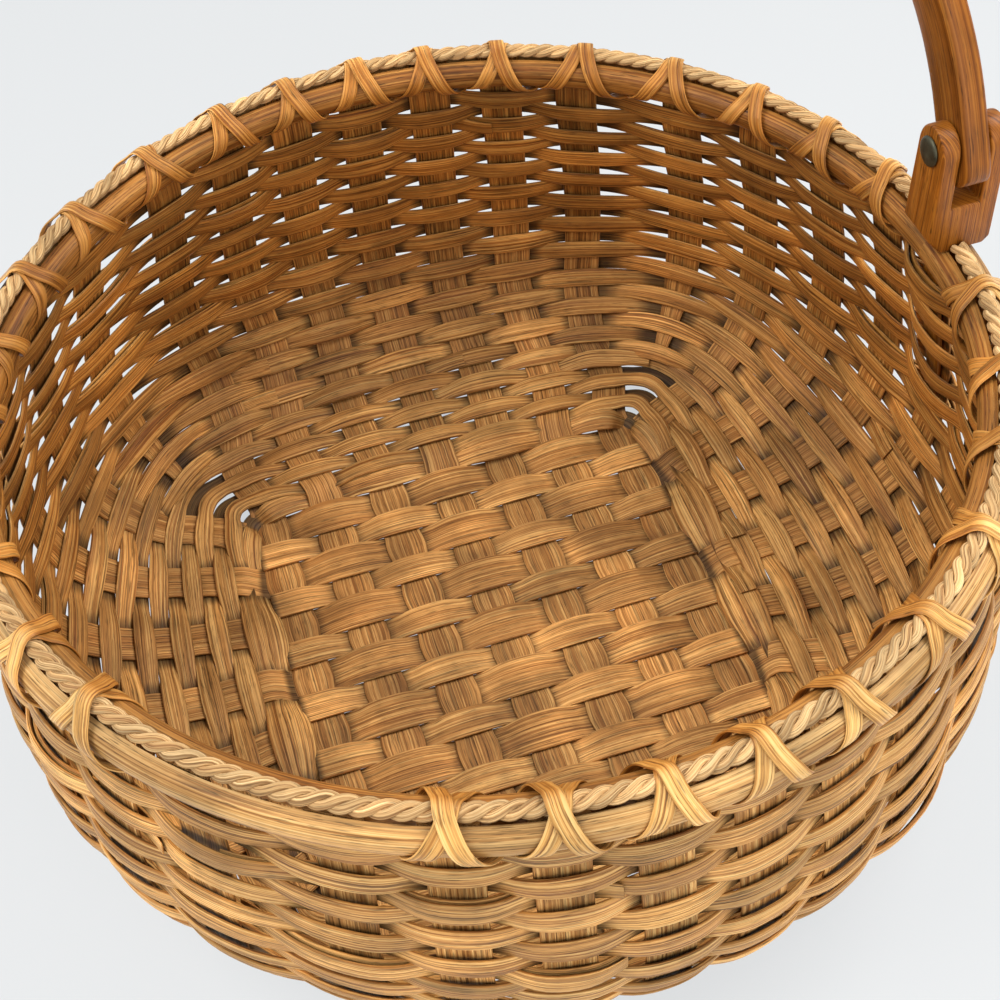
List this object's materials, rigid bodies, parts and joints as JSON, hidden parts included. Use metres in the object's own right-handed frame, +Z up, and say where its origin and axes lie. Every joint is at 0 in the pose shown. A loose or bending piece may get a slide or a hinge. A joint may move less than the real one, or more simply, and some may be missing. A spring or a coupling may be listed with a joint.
{
  "type": "splint basket",
  "caption": "Woven splint basket with a square base, a round lashed rim, carved ears and a bent wooden handle that swings.",
  "frame": {"origin": "under the middle of the base, on the surface that the basket stands on", "axes": "+Z up, X from ear to ear along the handle's pivot axis, Y along the flat base stakes"},
  "size_m": [0.3172, 0.318, 0.3081],
  "materials": {
    "oak_splint": "satin",
    "filler_splint": "satin",
    "weaver_reed": "satin",
    "hoop_reed": "satin",
    "seagrass": "matte",
    "lashing_reed": "satin",
    "ear_wood": "satin",
    "bail_wood": "satin",
    "aged_brass": "aged"
  },
  "bodies": {
    "basket": {"corner_stake_1": "oak_splint", "corner_stake_2": "oak_splint", "corner_stake_3": "oak_splint", "corner_stake_4": "oak_splint", "ear_left": "ear_wood", "ear_right": "ear_wood", "filler_1": "filler_splint", "filler_2": "filler_splint", "filler_3": "filler_splint", "filler_4": "filler_splint", "filler_5": "filler_splint", "filler_6": "filler_splint", "inner_hoop": "hoop_reed", "outer_hoop": "hoop_reed", "rim_cord_back": "seagrass", "rim_cord_front": "seagrass", "rim_lashing": "lashing_reed", "rivet_left": "aged_brass", "rivet_right": "aged_brass", "stake_across_1": "oak_splint", "stake_across_2": "oak_splint", "stake_across_3": "oak_splint", "stake_across_4": "oak_splint", "stake_across_5": "oak_splint", "stake_across_6": "oak_splint", "stake_across_7": "oak_splint", "stake_along_1": "oak_splint", "stake_along_2": "oak_splint", "stake_along_3": "oak_splint", "stake_along_4": "oak_splint", "stake_along_5": "oak_splint", "stake_along_6": "oak_splint", "stake_along_7": "oak_splint", "weaver_row_01": "weaver_reed", "weaver_row_02": "weaver_reed", "weaver_row_03": "weaver_reed", "weaver_row_04": "weaver_reed", "weaver_row_05": "weaver_reed", "weaver_row_06": "weaver_reed", "weaver_row_07": "weaver_reed", "weaver_row_08": "weaver_reed", "weaver_row_09": "weaver_reed", "weaver_row_10": "weaver_reed", "weaver_row_11": "weaver_reed", "weaver_row_12": "weaver_reed", "weaver_row_13": "weaver_reed", "weaver_row_14": "weaver_reed", "weaver_row_15": "weaver_reed", "weaver_row_16": "weaver_reed", "weaver_row_17": "weaver_reed", "weaver_row_18": "weaver_reed", "weaver_row_19": "weaver_reed", "weaver_row_20": "weaver_reed", "weaver_row_21": "weaver_reed", "weaver_row_22": "weaver_reed", "weaver_row_23": "weaver_reed", "weaver_row_24": "weaver_reed", "weaver_row_25": "weaver_reed", "weaver_row_26": "weaver_reed"},
    "bail": {"bail": "bail_wood"}
  },
  "joints": [
    {"name": "bail_swing", "type": "hinge", "parent": "basket", "child": "bail", "pos_m": [0, 0, 0.1666], "axis": [1, 0, 0], "range_deg": [-65, 125]}
  ]
}
